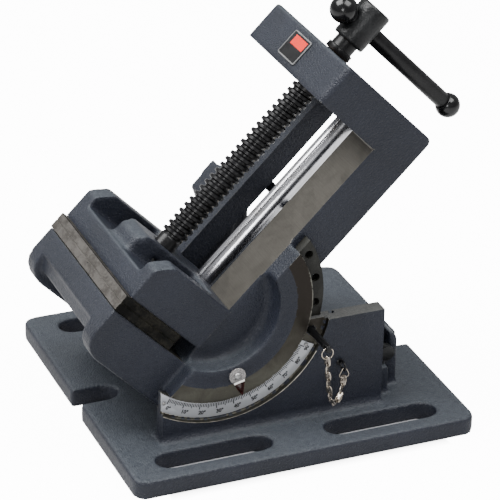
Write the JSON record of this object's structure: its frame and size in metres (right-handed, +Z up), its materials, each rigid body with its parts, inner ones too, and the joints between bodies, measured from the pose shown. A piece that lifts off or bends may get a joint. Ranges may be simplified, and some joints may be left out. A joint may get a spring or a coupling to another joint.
{
  "type": "angle vise",
  "caption": "Tilting drill-press vise: slotted base, bed on side trunnions with degree scale and index pin, screw-driven jaw on rails and a guide rod.",
  "frame": {"origin": "centre of the base plate's underside", "axes": "+X along the base towards the screw handle, -Y the front with the degree scale, +Z up from the machine table"},
  "size_m": [0.2263, 0.185, 0.2171],
  "materials": {
    "cast_paint": "sand-cast iron under dark blue-grey paint, machined bare on its running faces",
    "machined_iron": "ground steel",
    "bright_steel": "bright turned steel",
    "black_oxide": "black oxide, oiled",
    "chrome": "polished chrome",
    "chain_nickel": "bright nickel",
    "bronze": "cast bronze",
    "scale_silver": "satin silver with black graduation",
    "clear_plastic": "clear plastic with a red painted tip",
    "badge": "black enamel with a bright border"
  },
  "bodies": {
    "base": {"base_casting": "cast_paint", "scale_plate": "scale_silver", "scale_rivet_1": "bright_steel", "scale_rivet_2": "bright_steel", "eye_screw": "black_oxide", "clamp_washer": "bright_steel", "clamp_nut": "bright_steel"},
    "bed": {"vise_body": "cast_paint", "spindle_nut": "bronze", "guide_rod": "chrome", "badge_plate": "badge", "pointer": "clear_plastic", "pointer_screw": "bright_steel", "fixed_jaw_plate": "machined_iron", "fixed_plate_screw_front": "black_oxide", "fixed_plate_screw_rear": "black_oxide"},
    "moving_jaw": {"moving_jaw": "cast_paint", "moving_jaw_plate": "machined_iron", "moving_plate_screw_front": "black_oxide", "moving_plate_screw_rear": "black_oxide", "thrust_button": "bright_steel", "retaining_pin_lower": "bright_steel", "retaining_pin_upper": "bright_steel", "keeper_front": "bright_steel", "keeper_rear": "bright_steel", "keeper_screw_1": "bright_steel", "keeper_screw_2": "bright_steel", "keeper_screw_3": "bright_steel", "keeper_screw_4": "bright_steel"},
    "spindle": {"spindle": "black_oxide"},
    "handle": {"handle_bar": "black_oxide", "handle_ball_upper": "black_oxide", "handle_ball_lower": "black_oxide"},
    "index_pin": {"index_pin": "black_oxide", "split_ring": "chain_nickel", "chain_ring": "chain_nickel", "chain_link_01": "chain_nickel", "chain_link_02": "chain_nickel", "chain_link_03": "chain_nickel", "chain_link_04": "chain_nickel", "chain_link_05": "chain_nickel", "chain_link_06": "chain_nickel", "chain_link_07": "chain_nickel", "chain_link_08": "chain_nickel", "chain_link_09": "chain_nickel", "chain_link_10": "chain_nickel", "chain_link_11": "chain_nickel"},
    "clamp_bolt": {"clamp_bolt": "black_oxide"}
  },
  "joints": [
    {"name": "bed_tilt", "type": "hinge", "parent": "base", "child": "bed", "pos_m": [-0.0375, 0, 0.0786], "axis": [0, -1, 0], "range_deg": [-45, 45]},
    {"name": "jaw_slide", "type": "slide", "parent": "bed", "child": "moving_jaw", "axis": [0.7071, 0, 0.7071], "range_m": [0, 0.095]},
    {"name": "spindle_turn", "type": "hinge", "parent": "moving_jaw", "child": "spindle", "pos_m": [-0.04797, 0, 0.08907], "axis": [0.7071, 0, 0.7071], "range_deg": [0, 8550]},
    {"name": "handle_slide", "type": "slide", "parent": "spindle", "child": "handle", "axis": [-0.7071, 0, 0.7071], "range_m": [0, 0.0604]},
    {"name": "pin_slide", "type": "slide", "parent": "base", "child": "index_pin", "axis": [0, 1, 0], "range_m": [0, 0.0035]},
    {"name": "clamp_turn", "type": "hinge", "parent": "base", "child": "clamp_bolt", "pos_m": [0.062, -0.045, 0.0315], "axis": [0, 1, 0], "range_deg": [0, 180]}
  ],
  "couplings": [
    {"joint": "spindle_turn", "follows": "jaw_slide", "rad_per_m": 1570.8}
  ]
}
